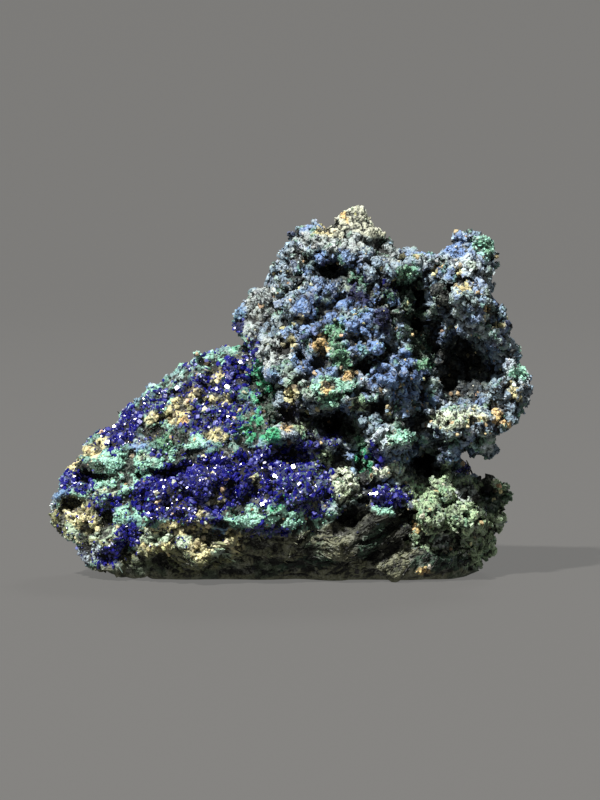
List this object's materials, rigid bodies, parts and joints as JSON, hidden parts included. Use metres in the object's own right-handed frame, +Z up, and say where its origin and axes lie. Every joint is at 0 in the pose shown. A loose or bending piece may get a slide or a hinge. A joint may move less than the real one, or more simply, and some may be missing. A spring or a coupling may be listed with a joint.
{
  "type": "azurite specimen",
  "caption": "Free-standing mineral specimen: a wedge of rock with a slope of deep blue azurite crystals and green malachite, beside a taller knobbly blue-grey mass.",
  "frame": {"origin": "middle of the bounding box at the level break that the stone stands on", "axes": "+Z up, +X along the stone's length towards the pillar and the notch, -Y out of the crystal slope"},
  "size_m": [0.0714, 0.0322, 0.0553],
  "materials": {
    "copper_ore": "dull knobbly ore, slate blue above and olive brown below, with cream and ochre limonite",
    "azurite_crystal": "glossy deep ultramarine crystals with flat faces",
    "malachite_crust": "fibrous mint to emerald green crust",
    "limonite_grain": "earthy cream to orange grains"
  },
  "bodies": {
    "root": {"azurite_specimen": "copper_ore"}
  },
  "joints": []
}
